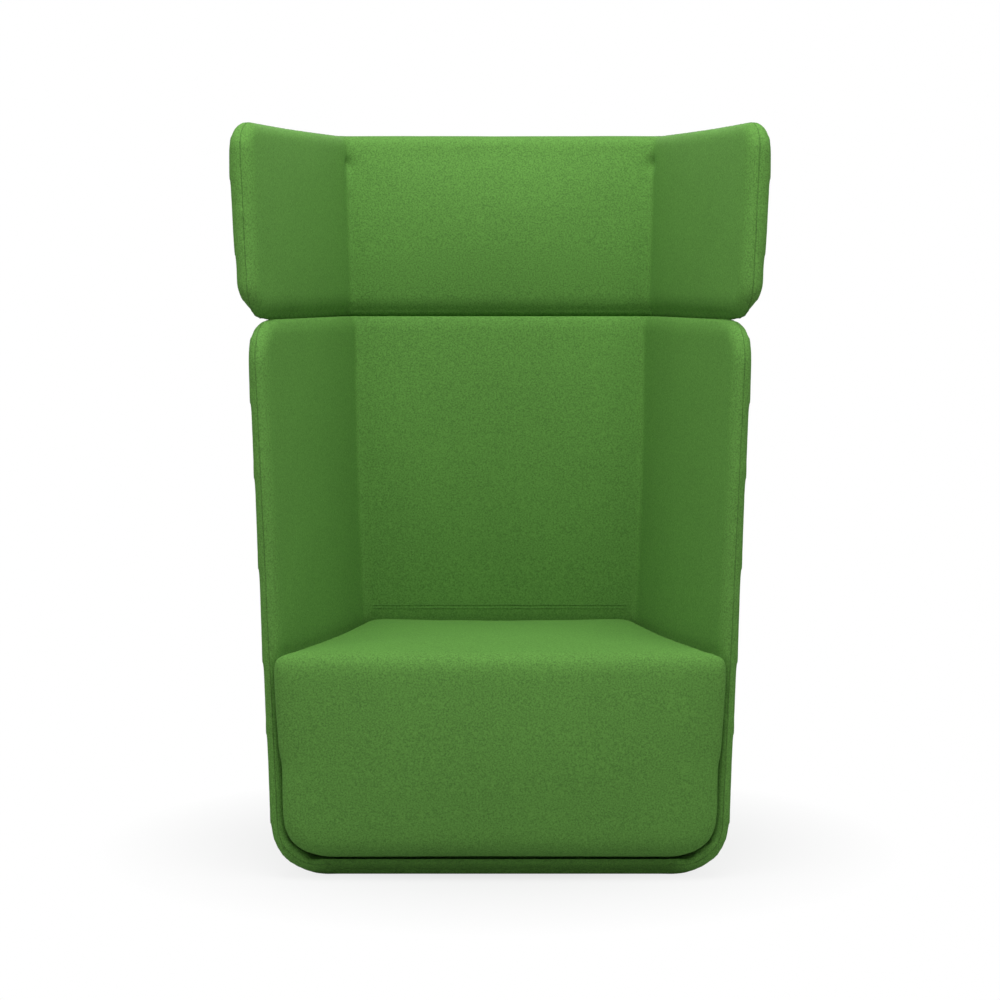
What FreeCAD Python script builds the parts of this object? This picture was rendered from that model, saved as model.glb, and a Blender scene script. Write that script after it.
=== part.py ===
import FreeCAD, Part
import math
import os
import Sketcher

# An upholstered high back lounge chair: a flared shell on hidden glides, a seat block set between
# its wings, and a U-shaped headrest whose two posts slide in sleeves inside the back.
# Millimetres. X is to the sitter's left, the chair faces -Y, the floor is Z = 0.

SIZES = [
    ("total_height", 1410, "floor to the top of the headrest"),
    ("shell_height", 1040, "floor to the top of the shell, under the headrest"),
    ("seat_height", 430, "floor to the crest of the seat"),
    ("seat_front", -369.35, "front of the seat, measured from the middle of the chair"),
    ("seat_depth", 540, "seat front to the inner back, at seat height"),
    ("seat_overhang", 30, "how far the seat stands out in front of the wings"),
    ("inner_width_front", 826, "between the wings at their front rims, at seat height"),
    ("inner_width_back", 557, "between the wings at the inner back, at seat height"),
    ("wing_spread", 53.4, "how far each wing moves outwards from the floor to the shell top"),
    ("back_recline", 93.6, "how far the back moves rearwards from the floor to the shell top"),
    ("front_recline", 31, "how far the front rims move rearwards from the floor to the shell top"),
    ("wing_thickness", 31, "through a wing of the shell, covers included"),
    ("back_thickness", 95, "through the back of the shell, along Y"),
    ("base_thickness", 32, "through the base of the shell, covers included"),
    ("glide_height", 8, "floor to the underside of the shell"),
    ("corner_radius", 100, "outer roundings of the shell's rear and bottom"),
    ("cove_leg", 38, "the bevel where the wings meet the base inside"),
    ("rim_bevel", 11, "bevel on the shell's rims"),
    ("shell_top_radius", 76, "upper front corner of the wings, seen from the side"),
    ("shell_toe_radius", 65, "lower front corner of the wings, seen from the side"),
    ("toe_drop", 5, "how far the toe rounding runs past the underside"),
    ("lumbar_crown", 16, "how far the inner back swells forwards"),
    ("lumbar_reach", 320, "half the height of that swelling"),
    ("lumbar_height", 735, "floor to the middle of that swelling"),
    ("fabric", 2, "thickness of the felt"),
    ("outer_padding", 7, "foam behind the outer cover's felt"),
    ("rim_padding", 20, "foam between the felt and the panels' edges"),
    ("panel_thickness", 12, "moulded plywood panels"),
    ("base_board", 15, "plywood board under the seat"),
    ("bend_margin", 4, "flat left on a bent panel beside its bend"),
    ("batten_depth", 24, "corner battens, measured off the wing panels"),
    ("batten_lap", 10, "how far the corner battens lap onto the wing panels"),
    ("rail_depth", 32, "top rail and rear sill, through the back"),
    ("rail_height", 90, "top rail and rear sill, upright"),
    ("headrest_gap", 3, "between the shell and the headrest"),
    ("headrest_outset", 17, "how far the headrest stands out past the shell"),
    ("headrest_wing", 40, "through an arm of the headrest"),
    ("headrest_bevel", 13, "bevel on the headrest's edges"),
    ("headrest_top_radius", 55, "upper front corner of the headrest, seen from the side"),
    ("headrest_toe_radius", 65, "lower front corner of the headrest, seen from the side"),
    ("headrest_crown", 8, "how far the headrest's inner back swells forwards"),
    ("headrest_reach", 150, "half the height of that swelling"),
    ("headrest_padding", 12, "foam between the felt and the headrest's panel"),
    ("post_spacing", 300, "between the two headrest posts"),
    ("post_diameter", 16, "headrest posts"),
    ("post_inset", 37, "post axes from the shell's rear face"),
    ("post_grip", 190, "length of post below the collars"),
    ("post_rise", 240, "length of post above the collars"),
    ("post_clearance", 0.3, "between a post and its sleeve, all round"),
    ("sleeve_wall", 3, "wall of a post sleeve"),
    ("sleeve_length", 200, "post sleeves under their flanges"),
    ("flange_diameter", 30, "flange of a post sleeve"),
    ("flange_thickness", 3, "flange of a post sleeve"),
    ("well_gap", 1.5, "round the flanges and the posts, in the padding"),
    ("collar_diameter", 28, "stop collar of a post"),
    ("collar_height", 8, "stop collar of a post"),
    ("block_width", 60, "post blocks inside the headrest, across"),
    ("block_height", 200, "post blocks inside the headrest, upright"),
    ("block_front", 56, "front of the post blocks, from the shell's rear face"),
    ("seat_clearance", 2, "between the seat block and the shell beside it"),
    ("seat_seating", 0.3, "between the seat block and the shell under it"),
    ("seat_bottom_radius", 70, "lower side roundings of the seat block"),
    ("seat_top_radius", 24, "upper side roundings of the seat block"),
    ("seat_front_radius", 26, "roundings round the seat's front face"),
    ("seat_fall", 9, "how far the seat's top falls from front to rear"),
    ("box_height", 235, "height of the seat's wooden box"),
    ("box_board", 18, "boards of the seat's wooden box"),
    ("box_front_padding", 34, "foam in front of the wooden box"),
    ("box_rear_padding", 30, "foam behind the wooden box"),
    ("box_side_padding", 72, "foam beside the wooden box"),
    ("block_leg", 70, "legs of the triangular corner blocks"),
    ("webbing_width", 60, "seat webbing"),
    ("webbing_thickness", 1.5, "seat webbing"),
    ("webbing_across", 5, "number of straps from side to side"),
    ("webbing_along", 4, "number of straps from front to rear"),
    ("glide_diameter", 44, "glides under the base"),
    ("glide_inset", 122, "glide centres from the shell's outer faces"),
    ("glide_edge", 2, "chamfer round the foot of a glide, and at the foot of a post"),
    ("hem_width", 70, "hem of the outer cover under the base"),
    ("dust_sheet", 0.8, "sheet that closes the underside"),
    ("dust_lap", 20, "how far that sheet laps over the hem"),
]

doc = FreeCAD.newDocument("lounge_chair")
sheet = doc.addObject("Spreadsheet::Sheet", "Sizes")
for row, (alias, value, meaning) in enumerate(SIZES, start=1):
    sheet.set(f"A{row}", meaning)
    sheet.set(f"B{row}", str(value))
    sheet.setAlias(f"B{row}", alias)
doc.recompute()


class Sheet:
    """The driving dimensions by name, as numbers."""

    def __getattr__(self, alias):
        return float(sheet.get(alias))


S = Sheet()
SIDES = {"left": 1, "right": -1}
FAR = 900.0
NEAR_PLANE = 1e-3
vector = FreeCAD.Vector

# Slopes of the main faces, and the length of each face's normal
rise = S.wing_spread / S.shell_height
lean = S.back_recline / S.shell_height
rake = S.front_recline / S.shell_height
rim_at_seat = S.seat_front + S.seat_overhang
back_at_seat = S.seat_front + S.seat_depth
flare = (S.inner_width_front - S.inner_width_back) / 2 / (back_at_seat - rim_at_seat)
wing_normal = math.sqrt(1 + rise**2 + flare**2)
back_normal = math.sqrt(1 + lean**2)
rake_normal = math.sqrt(1 + rake**2)

# Where those faces stand on the floor, in the middle plane
inner_foot = S.inner_width_front / 2 - rise * S.seat_height + flare * rim_at_seat
outer_foot = inner_foot + S.wing_thickness * wing_normal
back_foot = back_at_seat - lean * S.seat_height
rear_foot = back_foot + S.back_thickness
rim_foot = rim_at_seat - rake * S.seat_height
toe_bottom = S.glide_height - S.toe_drop
floor_height = S.glide_height + S.base_thickness
base_top = S.glide_height + S.fabric + S.base_board

# Layers inwards from the shell's outer faces
panel_inset = S.fabric + S.outer_padding
frame_inset = panel_inset + S.panel_thickness
rim_inset = S.fabric + S.rim_padding
back_inset = S.back_thickness / back_normal

# The headrest is built the same way, a little wider
headrest_bottom = S.shell_height + S.headrest_gap
headrest_foot = outer_foot + S.headrest_outset * wing_normal
headrest_rear = rear_foot + S.headrest_outset * back_normal
headrest_inner_foot = headrest_foot - S.headrest_wing * wing_normal
headrest_panel_inset = S.fabric + S.headrest_padding


def bend_inset(cosine):
    """How far in from a face the rounding to its neighbour ends. cosine is between their normals."""
    return S.corner_radius * (1 - cosine) + S.bend_margin


side_bend = bend_inset(rise / wing_normal)
rear_bend = bend_inset(lean / back_normal)
upright_bend = bend_inset((flare + rise * lean) / (wing_normal * back_normal))


def middle(edge):
    """The point half way along an edge."""
    return edge.valueAt((edge.FirstParameter + edge.LastParameter) / 2)


def edges_where(solid, test):
    """The edges of a solid whose middle point passes the test."""
    return [edge for edge in solid.Edges if test(middle(edge))]


def edge_at(solid, point):
    """The edge that passes closest to a point."""
    place = Part.Vertex(point)
    return min(solid.Edges, key=lambda edge: edge.distToShape(place)[0])


def rounded(solid, radius, points):
    """The solid with the edge chain through each point rounded, one chain after another."""
    for point in points:
        solid = solid.makeFillet(radius, [edge_at(solid, point)])
    return solid.Solids[0]


def bevelled(solid, leg, points):
    """The solid with the edge chain through each point bevelled, one chain after another."""
    for point in points:
        solid = solid.makeChamfer(leg, [edge_at(solid, point)])
    return solid.Solids[0]


def flared_block(foot, rear, bottom, top):
    """A block whose sides flare like the wings and whose rear leans like the back."""
    rings = []
    for z in (bottom, top):
        y = rear + lean * z
        near = foot + rise * z - flare * y
        wide = foot + rise * z + flare * FAR
        corners = [(-wide, -FAR), (wide, -FAR), (near, y), (-near, y)]
        rings.append([vector(cx, cy, z) for cx, cy in corners])
    low, high = rings
    faces = [Part.Face(Part.makePolygon(ring + ring[:1])) for ring in (low[::-1], high)]
    for k in range(4):
        n = (k + 1) % 4
        faces.append(Part.Face(Part.makePolygon([low[k], low[n], high[n], high[k], low[k]])))
    return Part.makeSolid(Part.makeShell(faces))


def side_outline(bottom, top, toe_radius, top_radius, inset):
    """A wide prism with the side view of the wings: raked front, rounded upper and lower corners."""
    low, high = bottom + inset, top - inset
    front = [rim_foot + rake * z + inset * rake_normal for z in (low, high)]
    corners = [(front[0], low), (front[1], high), (FAR, high), (FAR, low)]
    points = [vector(-FAR, y, z) for y, z in corners]
    prism = Part.Face(Part.makePolygon(points + points[:1])).extrude(vector(2 * FAR, 0, 0))
    for height, radius in ((high, top_radius), (low, toe_radius)):
        corner = edges_where(prism, lambda p: abs(p.x) < 1 and abs(p.z - height) < NEAR_PLANE and p.y < 0)
        prism = prism.makeFillet(radius - inset, corner)
    return prism


def swelling(height, reach, crown):
    """A long cylinder that swells out of the leaning inner back."""
    radius = (reach**2 + crown**2) / (2 * crown)
    forward = vector(0, -1, lean) * (1 / back_normal)
    surface = vector(-FAR, back_foot + lean * height, height)
    return Part.makeCylinder(radius, 2 * FAR, surface + forward * (crown - radius), vector(1, 0, 0))


def along_back(x, inset, upwards):
    """A placement that stands on the back: Z runs up the recline, Y out of the rear face."""
    out = vector(0, 1, -lean) * (1 / back_normal)
    up = vector(0, lean, 1) * (1 / back_normal)
    origin = vector(x, rear_foot, 0) - out * inset + up * upwards
    turn = FreeCAD.Rotation(vector(1, 0, 0), out, up, "ZXY")
    return FreeCAD.Placement(origin, turn)


def up_back(height, inset):
    """The distance up the recline at which a line at that inset reaches a height over the floor."""
    return height * back_normal - inset * lean


def behind(inset):
    """Everything behind the plane that lies that far inside the shell's rear face."""
    box = Part.makeBox(2 * FAR, 2 * FAR, 4 * FAR, vector(-FAR, 0, -FAR))
    box.Placement = along_back(0, inset, 0)
    return box


def between_wings(inset):
    """Everything between the planes that lie that far inside the wings' outer faces."""
    return flared_block(outer_foot - inset * wing_normal, rear_foot + FAR / 2, -FAR / 4, 2 * FAR)


def level(bottom, top):
    """Everything between two heights."""
    return Part.makeBox(2 * FAR, 2 * FAR, top - bottom, vector(-FAR, -FAR, bottom))


def half_space(side):
    """Everything on one side of the middle plane."""
    box = Part.makeBox(FAR, 2 * FAR, 2 * FAR, vector(0 if side > 0 else -FAR, -FAR, -FAR / 4))
    return box


def shell_outside(inset, base_inset=None):
    """The outer form of the shell, drawn in by inset, and at the base by base_inset."""
    base = S.glide_height + (inset if base_inset is None else base_inset)
    block = flared_block(outer_foot - inset * wing_normal, rear_foot - inset * back_normal, base, 2 * FAR)
    rounds = edges_where(block, lambda p: p.z < 2 * FAR - 1 and p.y > 1 - FAR)
    return block.makeFillet(S.corner_radius - inset, rounds)


def shell_inside():
    """The space between the wings, bevelled along the floor and narrowed by the lumbar swelling."""
    block = flared_block(inner_foot, back_foot, floor_height, 2 * FAR)
    coves = edges_where(block, lambda p: abs(p.z - floor_height) < NEAR_PLANE and abs(p.x) > 1)
    block = block.makeChamfer(S.cove_leg, coves)
    return block.cut(swelling(S.lumbar_height, S.lumbar_reach, S.lumbar_crown))


def headrest_outside(inset):
    """The outer form of the headrest, drawn in by inset. It runs on below and above."""
    block = flared_block(headrest_foot - inset * wing_normal, headrest_rear - inset * back_normal, 0, 2 * FAR)
    uprights = edges_where(block, lambda p: 1 < p.z < 2 * FAR - 1 and p.y > 1 - FAR)
    return block.makeFillet(S.corner_radius + S.headrest_outset - inset, uprights)


def headrest_outline(inset):
    """The side view of the headrest, drawn in by inset."""
    radii = (S.headrest_toe_radius, S.headrest_top_radius)
    return side_outline(headrest_bottom, S.total_height, *radii, inset)


def rim_points(height, outer, inner, levels):
    """A point on each chain of rim edges: the inner rims, the inner back at each level, the outer rim."""
    y = rim_foot + rake * height
    reach = rise * height - flare * y
    points = [vector(inner + reach, y, height), vector(-inner - reach, y, height)]
    for z in levels:
        points.append(vector(0, back_foot + lean * z, z))
    points.append(vector(outer + reach, y, height))
    return points


def shell_form():
    """The whole shell as upholstered."""
    outline = side_outline(toe_bottom, S.shell_height, S.shell_toe_radius, S.shell_top_radius, 0)
    solid = shell_outside(0).cut(shell_inside()).common(outline).Solids[0]
    points = rim_points(S.shell_height / 2, outer_foot, inner_foot, [S.shell_height])
    return bevelled(solid, S.rim_bevel, points)


def headrest_form():
    """The whole headrest as upholstered."""
    middle_height = (S.total_height + headrest_bottom) / 2
    inside = flared_block(headrest_inner_foot, back_foot, 0, 2 * FAR)
    inside = inside.cut(swelling(middle_height, S.headrest_reach, S.headrest_crown))
    solid = headrest_outside(0).cut(inside).common(headrest_outline(0)).Solids[0]
    levels = [S.total_height, headrest_bottom]
    points = rim_points(middle_height, headrest_foot, headrest_inner_foot, levels)
    return bevelled(solid, S.headrest_bevel, points)


def seat_form():
    """The seat block as upholstered: flared sides, rounded along the bottom, the top and the front."""
    bottom = floor_height + S.seat_seating
    side = S.seat_clearance * wing_normal
    block = flared_block(inner_foot - side, back_foot - S.seat_clearance * back_normal, bottom, 2 * FAR)
    lower = edges_where(block, lambda p: abs(p.z - bottom) < NEAR_PLANE and abs(p.x) > 1)
    block = block.makeFillet(S.seat_bottom_radius, lower)
    fall = S.seat_fall / S.seat_depth
    front, rear = S.seat_front, S.seat_front + 2 * S.seat_depth
    corners = [(front, 0), (front, S.seat_height), (rear, S.seat_height - fall * (rear - front)), (rear, 0)]
    points = [vector(-FAR, y, z) for y, z in corners]
    block = block.common(Part.Face(Part.makePolygon(points + points[:1])).extrude(vector(2 * FAR, 0, 0)))
    low_limit = S.seat_height - S.seat_top_radius
    sides = edges_where(block, lambda p: p.z > low_limit and abs(p.x) > S.block_leg and p.y > front + 1)
    block = block.makeFillet(S.seat_top_radius, sides)
    return rounded(block, S.seat_front_radius, [vector(0, front, bottom)])


def outline_sketch(body, corners, plane):
    """A closed outline in one of a body's own planes. Each corner's two distances are dimensioned."""
    sketch = body.newObject("Sketcher::SketchObject", f"{body.Name}_outline")
    support = [face for face in body.Origin.OriginFeatures if face.Role == plane]
    sketch.AttachmentSupport = [(support[0], "")]
    sketch.MapMode = "FlatFace"
    places = [[float(sheet.evalExpression(str(text))) for text in corner] for corner in corners]
    count = len(places)
    for k, (px, py) in enumerate(places):
        nx, ny = places[(k + 1) % count]
        sketch.addGeometry(Part.LineSegment(vector(px, py, 0), vector(nx, ny, 0)), False)
    for k in range(count):
        sketch.addConstraint(Sketcher.Constraint("Coincident", k, 2, (k + 1) % count, 1))
    for k, (place, corner) in enumerate(zip(places, corners)):
        for kind, value, text in zip(("DistanceX", "DistanceY"), place, corner):
            number = sketch.addConstraint(Sketcher.Constraint(kind, -1, 1, k, 1, value))
            if isinstance(text, str):
                sketch.setExpression(f"Constraints[{number}]", text)
    return sketch


def sawn(label, corners, length):
    """A body sawn from a board: a plan outline, and an expression for its height."""
    body = doc.addObject("PartDesign::Body", label)
    pad = body.newObject("PartDesign::Pad", f"{label}_pad")
    pad.Profile = outline_sketch(body, corners, "XY_Plane")
    pad.setExpression("Length", length)
    return body


def turned(label, corners):
    """A body turned about its own Z axis from a half section."""
    body = doc.addObject("PartDesign::Body", label)
    turning = body.newObject("PartDesign::Revolution", f"{label}_turning")
    section = outline_sketch(body, corners, "XZ_Plane")
    turning.Profile = section
    turning.ReferenceAxis = (section, ["V_Axis"])
    return body


def solid_part(label, shape):
    """A sub-part whose solid is shaped directly."""
    part = doc.addObject("Part::Feature", label)
    part.Shape = shape.Solids[0] if len(shape.Solids) == 1 else shape
    return part


def copies(label, source, places):
    """One sub-part made of several copies of a body, each at its own placement."""
    placed = []
    for place in places:
        copy = source.Shape.copy()
        copy.Placement = place
        placed.append(copy)
    return solid_part(label, Part.makeCompound(placed))


def rods(radius, places, length):
    """Plain cylinders along Z of some placements, to make holes with."""
    cylinders = []
    for place in places:
        cylinder = Part.makeCylinder(radius, length)
        cylinder.Placement = place
        cylinders.append(cylinder)
    return Part.makeCompound(cylinders)


def upright(x, y, z):
    """A placement that only moves."""
    return FreeCAD.Placement(vector(x, y, z), FreeCAD.Rotation())


nodes = []

# Moulded tray of the shell: two side panels, the back, the bend under it and the base
rail_front = frame_inset + S.rail_depth
tray_outside = shell_outside(panel_inset, S.fabric)
tray_inside = shell_outside(frame_inset, S.fabric + S.base_board)
tray_toe = S.shell_toe_radius + rim_inset
tray_outline = side_outline(toe_bottom - rim_inset, S.shell_height, tray_toe, S.shell_top_radius, rim_inset)
tray = tray_outside.cut(tray_inside).common(tray_outline)
back_low = S.glide_height + S.corner_radius + S.bend_margin
core = between_wings(side_bend)
for name, side in SIDES.items():
    wing = tray.cut(behind(upright_bend)).cut(core).common(half_space(side))
    nodes.append(solid_part(f"{name}_side_panel", wing))
nodes.append(solid_part("back_panel", tray.common(behind(upright_bend)).common(level(back_low, 2 * FAR))))
bend = tray.common(behind(rear_bend)).common(core).common(level(0, back_low))
nodes.append(solid_part("rear_bend_panel", bend))

nodes.append(solid_part("base_panel", tray.common(core).cut(behind(rear_bend))))

# Solid wood glued inside the tray
for name, side in SIDES.items():
    batten = tray_inside.cut(between_wings(frame_inset + S.batten_depth)).common(half_space(side))
    batten = batten.common(behind(upright_bend + S.batten_lap)).cut(behind(rail_front))
    batten = batten.common(level(0, S.shell_height - rim_inset))
    nodes.append(solid_part(f"{name}_corner_batten", batten))

rail_top = up_back(S.shell_height - rim_inset, rail_front)
sleeve_places = [along_back(side * S.post_spacing / 2, S.post_inset, rail_top) for side in SIDES.values()]
down = FreeCAD.Placement(vector(0, 0, -S.sleeve_length), FreeCAD.Rotation())
sleeve_radius = S.post_diameter / 2 + S.post_clearance + S.sleeve_wall
sleeve_bores = rods(sleeve_radius, [place * down for place in sleeve_places], S.sleeve_length)
rail_box = Part.makeBox(2 * FAR, S.rail_depth, S.rail_height, vector(-FAR, 0, -S.rail_height))
rail_box.Placement = along_back(0, rail_front, rail_top)
nodes.append(solid_part("top_rail", tray_inside.common(rail_box).cut(sleeve_bores)))
sill = tray_inside.common(behind(rail_front)).common(level(0, base_top + S.rail_height))
nodes.append(solid_part("rear_sill", sill))

sleeve = turned("sleeve_section", [
    ("Sizes.post_diameter / 2 + Sizes.post_clearance", "-Sizes.sleeve_length"),
    ("Sizes.post_diameter / 2 + Sizes.post_clearance + Sizes.sleeve_wall", "-Sizes.sleeve_length"),
    ("Sizes.post_diameter / 2 + Sizes.post_clearance + Sizes.sleeve_wall", 0.0),
    ("Sizes.flange_diameter / 2", 0.0),
    ("Sizes.flange_diameter / 2", "Sizes.flange_thickness"),
    ("Sizes.post_diameter / 2 + Sizes.post_clearance", "Sizes.flange_thickness"),
])
doc.recompute()
nodes.append(copies("post_sleeves", sleeve, sleeve_places))

# Padding of the shell: felt over foam, an outer cover and four inner pieces that meet it on the rims
well_depth = S.total_height - S.shell_height
wells = rods(S.flange_diameter / 2 + S.well_gap, sleeve_places, well_depth)
padding = shell_form().cut(wells).cut(sleeve_bores)
for node in nodes:
    padding = padding.cut(node.Shape)
seam = shell_outside(S.wing_thickness / 2)
hem_inset = side_bend + S.hem_width
hem_side = outer_foot - hem_inset * wing_normal
hem_block = flared_block(hem_side, rear_foot - hem_inset * back_normal, 0, base_top)
hem_front = rim_foot + hem_inset
hem_window = hem_block.cut(Part.makeBox(2 * FAR, FAR, FAR, vector(-FAR, hem_front - FAR, -1)))
nodes.append(solid_part("outer_cover", padding.cut(seam).cut(hem_window)))
inner_padding = padding.common(seam)
seat_floor = core.common(level(0, floor_height + S.cove_leg)).cut(behind(rail_front))
cavity = between_wings(S.wing_thickness).common(level(S.lumbar_height - S.lumbar_reach, 2 * FAR))
back_region = cavity.fuse(behind(back_inset))
nodes.append(solid_part("base_padding", inner_padding.common(seat_floor)))
nodes.append(solid_part("back_padding", inner_padding.common(back_region).cut(seat_floor)))
wing_padding = inner_padding.cut(back_region).cut(seat_floor)
for name, side in SIDES.items():
    nodes.append(solid_part(f"{name}_wing_padding", wing_padding.common(half_space(side))))

# Sheet under the base, tacked over the hem, and the glides beside it
sheet_inset = hem_inset - S.dust_lap
sheet_side = outer_foot - sheet_inset * wing_normal
sheet_front = rim_foot + sheet_inset
sheet_rear = rear_foot - sheet_inset * back_normal
dust_cover = sawn("dust_cover", [
    (-sheet_side + flare * sheet_front, sheet_front),
    (sheet_side - flare * sheet_front, sheet_front),
    (sheet_side - flare * sheet_rear, sheet_rear),
    (-sheet_side + flare * sheet_rear, sheet_rear),
], "Sizes.dust_sheet")
dust_cover.Placement = upright(0, 0, S.glide_height - S.dust_sheet)
nodes.append(dust_cover)
glide = turned("glide_section", [
    (0.0, 0.0),
    ("Sizes.glide_diameter / 2 - Sizes.glide_edge", 0.0),
    ("Sizes.glide_diameter / 2", "Sizes.glide_edge"),
    ("Sizes.glide_diameter / 2", "Sizes.glide_height"),
    (0.0, "Sizes.glide_height"),
])
doc.recompute()
glide_places = []
for y in (rim_foot + S.glide_inset, rear_foot - S.glide_inset * back_normal):
    x = outer_foot - flare * y - S.glide_inset * wing_normal
    glide_places += [upright(side * x, y, 0) for side in SIDES.values()]
nodes.append(copies("glides", glide, glide_places))

# Wooden box of the seat, wider in front than behind
box_bottom = floor_height + S.seat_seating + S.fabric
box_top = box_bottom + S.box_height
box_front = S.seat_front + S.fabric + S.box_front_padding
box_rear = back_foot + lean * box_bottom - S.seat_clearance - S.fabric - S.box_rear_padding
board_run = math.sqrt(1 + flare**2)


def box_side(y, depth=0.0):
    """X of the left side board's outer face at y, or of a line that deep inside it."""
    outer = inner_foot + rise * box_bottom - S.box_side_padding * wing_normal
    return outer - flare * y - depth * board_run


box_in_front = box_front + S.box_board
box_in_rear = box_rear - S.box_board
box_floor = upright(0, 0, box_bottom)
cross_boards = (("seat_front_board", box_front, box_in_front), ("seat_rear_board", box_in_rear, box_rear))
for label, near, far in cross_boards:
    nodes.append(sawn(label, [
        (-box_side(near), near),
        (box_side(near), near),
        (box_side(far), far),
        (-box_side(far), far),
    ], "Sizes.box_height"))
for name, side in SIDES.items():
    nodes.append(sawn(f"seat_{name}_board", [
        (side * box_side(box_in_front, S.box_board), box_in_front),
        (side * box_side(box_in_front), box_in_front),
        (side * box_side(box_in_rear), box_in_rear),
        (side * box_side(box_in_rear, S.box_board), box_in_rear),
    ], "Sizes.box_height"))
for board in nodes[-4:]:
    board.Placement = box_floor
doc.recompute()

# Triangular blocks glued into the corners of the box
corner_blocks = []
for side in SIDES.values():
    for y, along in ((box_in_front, 1), (box_in_rear, -1)):
        x = box_side(y, S.box_board)
        leg = along * S.block_leg / board_run
        corners = [(x, y), (x - flare * leg, y + leg), (x - S.block_leg, y)]
        points = [vector(side * px, py, box_bottom) for px, py in corners]
        triangle = Part.Face(Part.makePolygon(points + points[:1]))
        corner_blocks.append(triangle.extrude(vector(0, 0, S.box_height)))
nodes.append(solid_part("seat_corner_blocks", Part.makeCompound(corner_blocks)))

# Webbing tacked over the box, one layer across and one along
box_plan = [(-box_side(box_front), box_front), (box_side(box_front), box_front)]
box_plan += [(box_side(box_rear), box_rear), (-box_side(box_rear), box_rear)]
plan_points = [vector(px, py, 0) for px, py in box_plan]
box_column = Part.Face(Part.makePolygon(plan_points + plan_points[:1])).extrude(vector(0, 0, FAR))
straps = []
across, along = int(S.webbing_across), int(S.webbing_along)
pitch_y = (box_rear - box_front) / across
pitch_x = 2 * box_side(box_rear) / along
for k in range(across):
    start = box_front + (k + 0.5) * pitch_y - S.webbing_width / 2
    straps.append(Part.makeBox(2 * FAR, S.webbing_width, S.webbing_thickness, vector(-FAR, start, box_top)))
for k in range(along):
    start = (k + 0.5) * pitch_x - box_side(box_rear) - S.webbing_width / 2
    height = box_top + S.webbing_thickness
    straps.append(Part.makeBox(S.webbing_width, 2 * FAR, S.webbing_thickness, vector(start, -FAR, height)))
webbing = straps[0].multiFuse(straps[1:]).common(box_column)
nodes.append(solid_part("seat_webbing", webbing))

hollow = box_column.common(level(box_bottom, box_top + 2 * S.webbing_thickness))
nodes.append(solid_part("seat_cushion", seat_form().cut(hollow)))

# Headrest frame: a moulded panel bent round the head, two bored blocks and two posts
headrest_frame_inset = headrest_panel_inset + S.panel_thickness
headrest_tray = headrest_outside(headrest_panel_inset).cut(headrest_outside(headrest_frame_inset))
headrest_panel = headrest_tray.common(headrest_outline(rim_inset))
nodes.append(solid_part("headrest_panel", headrest_panel))
collar_foot = FreeCAD.Placement(vector(0, 0, S.flange_thickness), FreeCAD.Rotation())
post_places = [place * collar_foot for place in sleeve_places]
block_bottom = up_back(headrest_bottom + rim_inset, S.block_front)
block_rear = headrest_frame_inset - S.headrest_outset
blocks = []
for side in SIDES.values():
    block = Part.makeBox(S.block_width, S.block_front - block_rear, S.block_height)
    block.Placement = along_back(side * S.post_spacing / 2 - S.block_width / 2, S.block_front, block_bottom)
    blocks.append(block)
post_low = FreeCAD.Placement(vector(0, 0, -S.post_grip), FreeCAD.Rotation())
post_length = S.post_grip + S.collar_height + S.post_rise
post_rods = rods(S.post_diameter / 2, [place * post_low for place in post_places], post_length)
blocks = [block.cut(post_rods) for block in blocks]
nodes.append(solid_part("post_blocks", Part.makeCompound(blocks)))
post = turned("post_section", [
    (0.0, "-Sizes.post_grip"),
    ("Sizes.post_diameter / 2 - Sizes.glide_edge", "-Sizes.post_grip"),
    ("Sizes.post_diameter / 2", "-Sizes.post_grip + Sizes.glide_edge"),
    ("Sizes.post_diameter / 2", 0.0),
    ("Sizes.collar_diameter / 2", 0.0),
    ("Sizes.collar_diameter / 2", "Sizes.collar_height"),
    ("Sizes.post_diameter / 2", "Sizes.collar_height"),
    ("Sizes.post_diameter / 2", "Sizes.collar_height + Sizes.post_rise"),
    (0.0, "Sizes.collar_height + Sizes.post_rise"),
])
doc.recompute()
nodes.append(copies("headrest_posts", post, post_places))

# Padding of the headrest, in the same way
post_wells = rods(S.post_diameter / 2 + S.well_gap, [place * post_low for place in post_places], post_length)
padding = headrest_form().cut(headrest_panel).cut(Part.makeCompound(blocks)).cut(post_wells)
headrest_seam = headrest_outside(S.headrest_wing / 2)
nodes.append(solid_part("headrest_outer_cover", padding.cut(headrest_seam)))
inner_padding = padding.common(headrest_seam)
head_region = flared_block(headrest_inner_foot, rear_foot + FAR / 2, 0, 2 * FAR).fuse(behind(back_inset))
nodes.append(solid_part("headrest_back_padding", inner_padding.common(head_region)))
arms = inner_padding.cut(head_region)
for name, side in SIDES.items():
    nodes.append(solid_part(f"{name}_headrest_padding", arms.common(half_space(side))))

# Every object is sound and every sub-part has a valid solid before anything is written
doc.recompute()
for item in doc.Objects:
    if "Invalid" in item.State or "Error" in item.State:
        raise RuntimeError(f"{item.Label} is not sound")
for node in nodes:
    if node.Shape.isNull() or not node.Shape.isValid():
        raise RuntimeError(f"{node.Label} has no valid shape")
os.makedirs("parts", exist_ok=True)
for node in nodes:
    node.Shape.exportStep(f"parts/{node.Label}.step")
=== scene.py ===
import math

import bmesh
import bpy
import numpy as np
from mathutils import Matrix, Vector
from mathutils.bvhtree import BVHTree


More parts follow.
